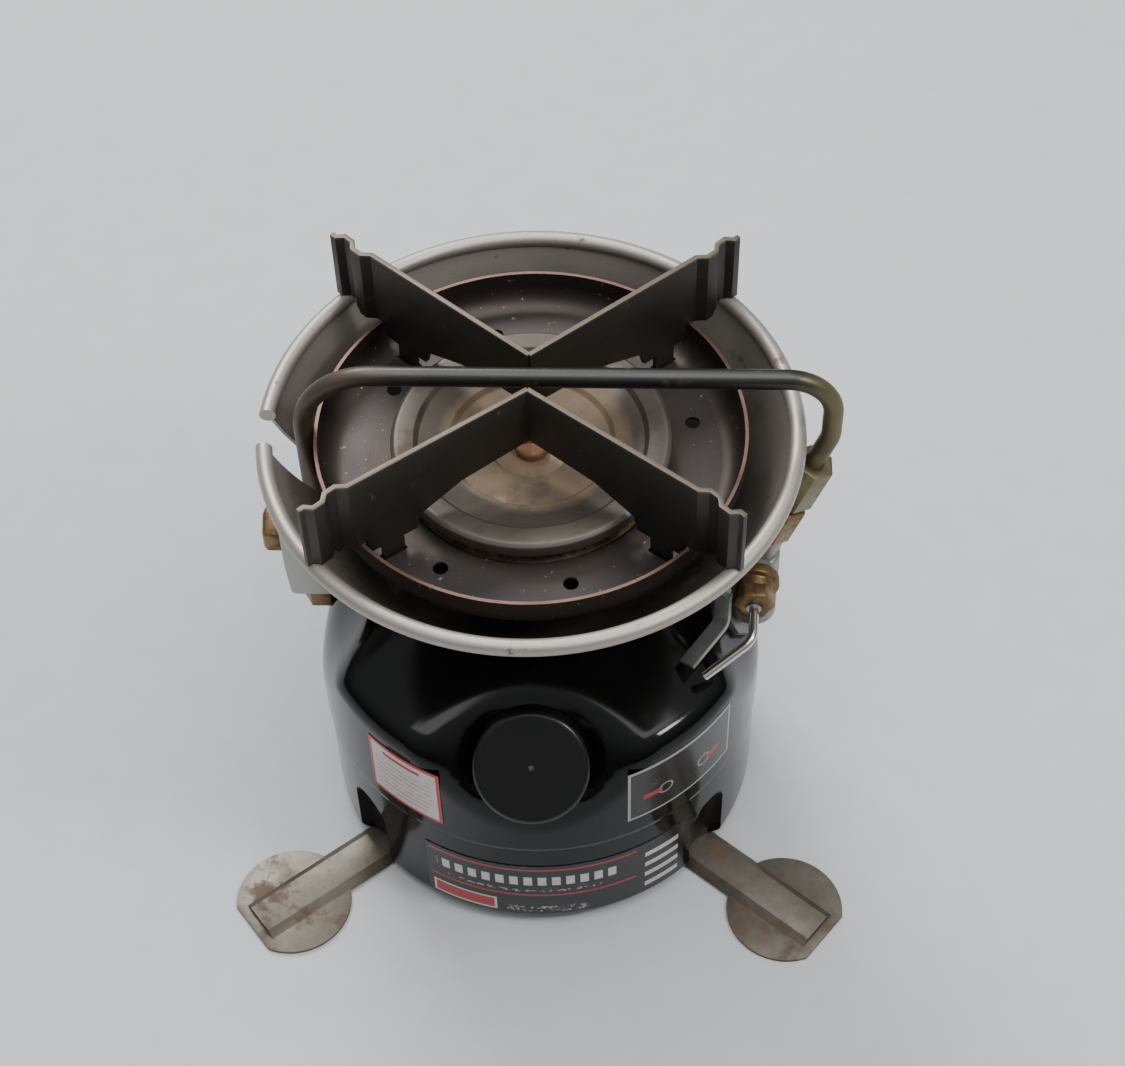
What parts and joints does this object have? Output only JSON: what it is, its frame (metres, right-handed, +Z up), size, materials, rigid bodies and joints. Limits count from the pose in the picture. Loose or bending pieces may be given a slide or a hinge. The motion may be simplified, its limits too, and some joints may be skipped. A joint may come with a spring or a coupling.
{
  "type": "camp stove",
  "caption": "Single-burner liquid-fuel camp stove: round pump-pressurised tank, ring burner in a bowl, over-flame generator tube, folding feet and crossed pot supports.",
  "frame": {"origin": "on the floor, under the tank's axis", "axes": "+Z up; the pump knob faces -Y; the fuel valve is on +X and the mixer on -X"},
  "size_m": [0.1622, 0.1649, 0.158],
  "materials": {
    "tank_black": "gloss",
    "label_print": "satin",
    "zinc_plate": "plated",
    "knob_black": "satin",
    "pump_brass": "satin",
    "rod_steel": "satin",
    "cup_leather": "matte",
    "cap_dark": "satin",
    "seal_rubber": "matte",
    "valve_grey": "dull",
    "brass_fitting": "dull",
    "nut_steel": "dull",
    "lever_nickel": "bright",
    "zinc_cast": "cast",
    "tube_blued": "heat blued",
    "bowl_steel": "bright rim, heat-stained inside",
    "plate_steel": "heat stained",
    "burner_iron": "burnt",
    "ring_steel": "heat stained",
    "cap_burnt": "burnt tan grey",
    "support_steel": "dull, heat stained"
  },
  "bodies": {
    "body": {"tank_upper_shell": "tank_black", "tank_lower_shell": "tank_black", "label_left": "label_print", "label_right": "label_print", "label_band": "label_print", "leg_rivets": "zinc_plate", "pump_cylinder": "pump_brass", "pump_cap": "pump_brass", "check_valve": "pump_brass", "filler_neck": "pump_brass", "valve_body": "valve_grey", "valve_bonnet": "brass_fitting", "packing_nut": "brass_fitting", "adjuster_spindle": "rod_steel", "pickup_tube": "pump_brass", "generator_collar": "brass_fitting", "generator_nut": "nut_steel", "generator_tube": "tube_blued", "cleaning_needle": "rod_steel", "mixer_block": "zinc_cast", "tube_nut": "nut_steel", "jet_plug": "brass_fitting", "gas_jet": "pump_brass", "mixer_stud": "rod_steel", "mixer_nut": "brass_fitting", "mixing_tube": "tube_blued", "burner_base": "burner_iron", "bowl_locknut": "zinc_plate", "burner_bowl": "bowl_steel", "heat_plate": "plate_steel", "burner_rings_flat": "ring_steel", "burner_rings_wavy": "ring_steel", "burner_cap": "cap_burnt", "burner_screw": "rod_steel", "burner_bracket": "zinc_plate", "bracket_screws": "zinc_plate", "pot_support_front": "support_steel", "pot_support_rear": "support_steel"},
    "air_valve": {"air_stem": "rod_steel"},
    "plunger": {"pump_knob": "knob_black", "pump_rod": "rod_steel", "pump_cup": "cup_leather", "pump_cup_washers": "rod_steel"},
    "fuel_valve": {"valve_stem": "rod_steel", "fuel_lever": "lever_nickel"},
    "adjuster": {"adjuster_lever": "zinc_plate"},
    "filler_seal": {"filler_gasket": "seal_rubber"},
    "filler_cap": {"filler_cap": "cap_dark"},
    "leg_front_right": {"leg_front_right": "zinc_plate"},
    "leg_rear": {"leg_rear": "zinc_plate"},
    "leg_front_left": {"leg_front_left": "zinc_plate"}
  },
  "joints": [
    {"name": "pump_lock_turn", "type": "hinge", "parent": "body", "child": "air_valve", "pos_m": [0, -0.05308, 0.07022], "axis": [0, -0.766, 0.6428], "range_deg": [0, 360]},
    {"name": "pump_stroke", "type": "slide", "parent": "air_valve", "child": "plunger", "axis": [0, -0.766, 0.6428], "range_m": [0, 0.042]},
    {"name": "fuel_lever_turn", "type": "hinge", "parent": "body", "child": "fuel_valve", "pos_m": [0.0552, 0, 0.0864], "axis": [0.0436, 0.999, 0], "range_deg": [0, 150]},
    {"name": "adjuster_turn", "type": "hinge", "parent": "body", "child": "adjuster", "pos_m": [0.0478, 0, 0.0904], "axis": [0.0436, 0.999, 0], "range_deg": [0, 60]},
    {"name": "filler_cap_rise", "type": "slide", "parent": "body", "child": "filler_seal", "axis": [0, 0.766, 0.6428], "range_m": [0, 0.0038]},
    {"name": "filler_cap_turn", "type": "hinge", "parent": "filler_seal", "child": "filler_cap", "pos_m": [0, 0.05308, 0.07022], "axis": [0, 0.766, 0.6428], "range_deg": [0, 720]},
    {"name": "leg_front_right_fold", "type": "hinge", "parent": "body", "child": "leg_front_right", "pos_m": [0.03444, -0.02739, 0.0022], "axis": [0, 0, 1], "range_deg": [0, 150]},
    {"name": "leg_rear_fold", "type": "hinge", "parent": "body", "child": "leg_rear", "pos_m": [0, 0.044, 0.0022], "axis": [0, 0, 1], "range_deg": [0, 150]},
    {"name": "leg_front_left_fold", "type": "hinge", "parent": "body", "child": "leg_front_left", "pos_m": [-0.03444, -0.02739, 0.0022], "axis": [0, 0, 1], "range_deg": [0, 150]}
  ],
  "couplings": [
    {"joint": "filler_cap_turn", "follows": "filler_cap_rise", "rad_per_m": 3306.9}
  ]
}
